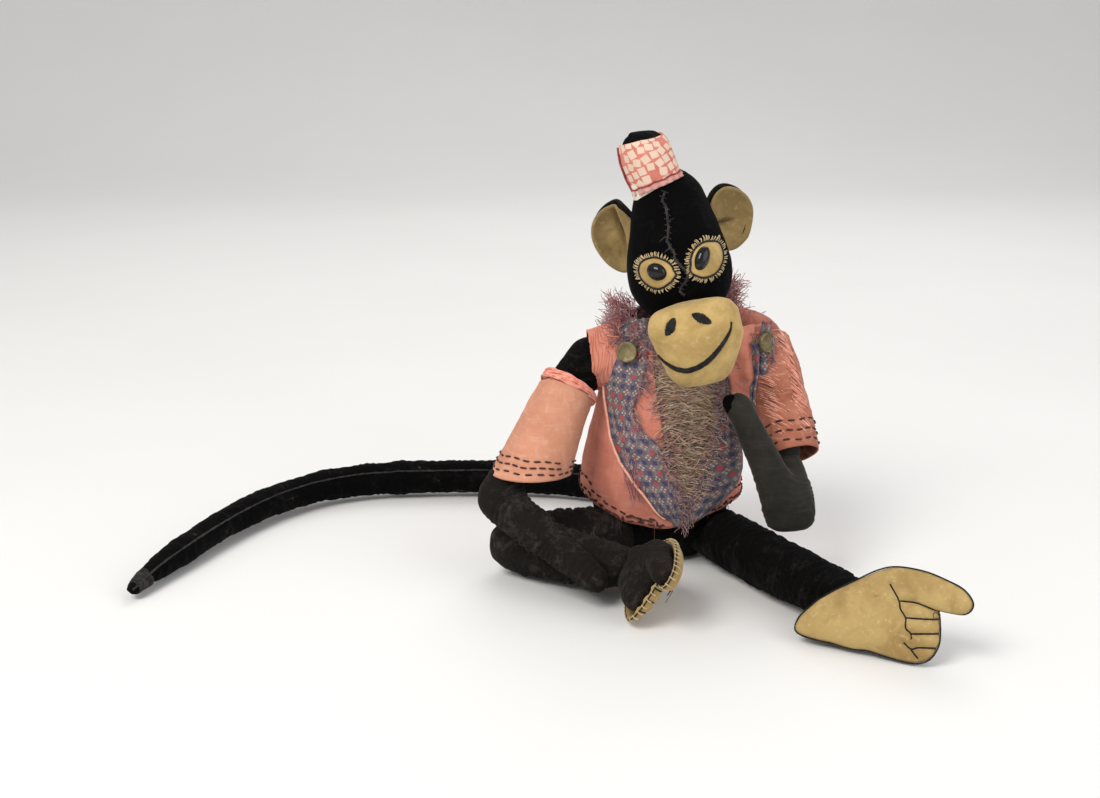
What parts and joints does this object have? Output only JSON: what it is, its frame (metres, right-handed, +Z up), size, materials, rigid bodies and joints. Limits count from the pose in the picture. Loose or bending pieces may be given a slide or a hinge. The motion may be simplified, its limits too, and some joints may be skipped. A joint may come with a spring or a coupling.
{
  "type": "stuffed cloth monkey",
  "caption": "Seated vintage stuffed velvet monkey doll with a long tail, small printed fez, tan muzzle and soles, and a worn coral cotton jacket.",
  "frame": {"origin": "on the ground under the body, in the plane of the flat seat", "axes": "+Z up, -Y ahead of the doll, +X towards the doll's left"},
  "size_m": [0.4278, 0.2705, 0.2395],
  "materials": {
    "black_velvet": "matte",
    "worn_seam": "matte",
    "stuffing": "matte",
    "fibre_board": "matte",
    "steel": "satin",
    "coral_cotton": "matte",
    "printed_cotton": "matte",
    "fez_print": "matte",
    "shirt_cloth": "matte",
    "brass": "satin",
    "brown_thread": "matte",
    "cream_thread": "matte",
    "black_thread": "matte",
    "tan_velveteen": "matte",
    "shoe_button": "gloss",
    "grey_cotton": "matte"
  },
  "bodies": {
    "torso": {"torso_cover": "black_velvet", "torso_stuffing": "stuffing", "body_joint_discs": "fibre_board", "body_joint_washers": "steel", "jacket_back": "coral_cotton", "jacket_front_right": "coral_cotton", "jacket_front_left": "coral_cotton", "lapel_right": "printed_cotton", "lapel_left": "printed_cotton", "collar_fringe": "printed_cotton", "shirt_front": "shirt_cloth", "brass_buttons": "brass", "hem_stitching": "brown_thread", "thigh_right": "black_velvet"},
    "head": {"head_cover": "black_velvet", "head_stuffing": "stuffing", "head_seam": "worn_seam", "muzzle": "tan_velveteen", "face_embroidery": "black_thread", "eye_patch_right": "tan_velveteen", "eye_patch_left": "tan_velveteen", "eye_stitching": "cream_thread", "eye_buttons": "shoe_button", "ear_front_right": "tan_velveteen", "ear_back_right": "black_velvet", "ear_front_left": "tan_velveteen", "ear_back_left": "black_velvet", "hat_band": "fez_print", "hat_crown": "black_velvet", "hat_stuffing": "stuffing", "neck_disc": "fibre_board", "neck_pin": "steel"},
    "right_upper_arm": {"upper_arm_right": "black_velvet", "sleeve_right": "coral_cotton", "cuff_stitching_right": "brown_thread", "shoulder_disc_right": "fibre_board", "shoulder_pin_right": "steel"},
    "right_forearm": {"forearm_right": "black_velvet"},
    "left_upper_arm": {"upper_arm_left": "grey_cotton", "sleeve_left": "coral_cotton", "cuff_stitching_left": "brown_thread", "shoulder_disc_left": "fibre_board", "shoulder_pin_left": "steel"},
    "left_forearm": {"forearm_left": "grey_cotton"},
    "right_shin": {"shin_right": "black_velvet", "foot_upper_right": "black_velvet", "foot_sole_right": "tan_velveteen", "toe_stitching_right": "black_thread"},
    "left_thigh": {"thigh_left": "black_velvet"},
    "left_shin": {"shin_left": "black_velvet", "foot_upper_left": "black_velvet", "foot_sole_left": "tan_velveteen", "toe_stitching_left": "black_thread"},
    "tail_thick_end": {"tail_base": "black_velvet"},
    "tail_thin_end": {"tail_tip": "black_velvet"}
  },
  "joints": [
    {"name": "head_turn", "type": "hinge", "parent": "torso", "child": "head", "pos_m": [0.008, -0.006, 0.146], "axis": [0, 0, 1], "range_deg": [-25, 25]},
    {"name": "right_shoulder_raise", "type": "hinge", "parent": "torso", "child": "right_upper_arm", "pos_m": [-0.0443, 0, 0.112], "axis": [-1, 0, 0], "range_deg": [0, 110]},
    {"name": "right_elbow_lift", "type": "hinge", "parent": "right_upper_arm", "child": "right_forearm", "pos_m": [-0.09292, -0.05251, 0.04801], "axis": [-0.5878, -0.809, 0], "range_deg": [0, 28]},
    {"name": "left_shoulder_raise", "type": "hinge", "parent": "torso", "child": "left_upper_arm", "pos_m": [0.0563, 0, 0.112], "axis": [-1, 0, 0], "range_deg": [0, 8]},
    {"name": "left_elbow_open", "type": "hinge", "parent": "left_upper_arm", "child": "left_forearm", "pos_m": [0.06693, -0.06423, 0.04145], "axis": [0.8219, -0.3541, 0.4462], "range_deg": [0, 80]},
    {"name": "right_knee_fold", "type": "hinge", "parent": "torso", "child": "right_shin", "pos_m": [-0.08223, -0.03944, 0.017], "axis": [0, 0, 1], "range_deg": [0, 8]},
    {"name": "left_hip_turn_in", "type": "hinge", "parent": "torso", "child": "left_thigh", "pos_m": [0.027, -0.016, 0.017], "axis": [0, 0, -1], "range_deg": [0, 15]},
    {"name": "left_knee_bend", "type": "hinge", "parent": "left_thigh", "child": "left_shin", "pos_m": [0.05517, -0.06898, 0.017], "axis": [0, 0, -1], "range_deg": [0, 25]},
    {"name": "tail_swing", "type": "hinge", "parent": "torso", "child": "tail_thick_end", "pos_m": [0, 0.049, 0.0125], "axis": [0, 0, 1], "range_deg": [-20, 10]},
    {"name": "tail_bend", "type": "hinge", "parent": "tail_thick_end", "child": "tail_thin_end", "pos_m": [-0.159, 0.094, 0.0125], "axis": [0, 0, 1], "range_deg": [-30, 30]}
  ]
}
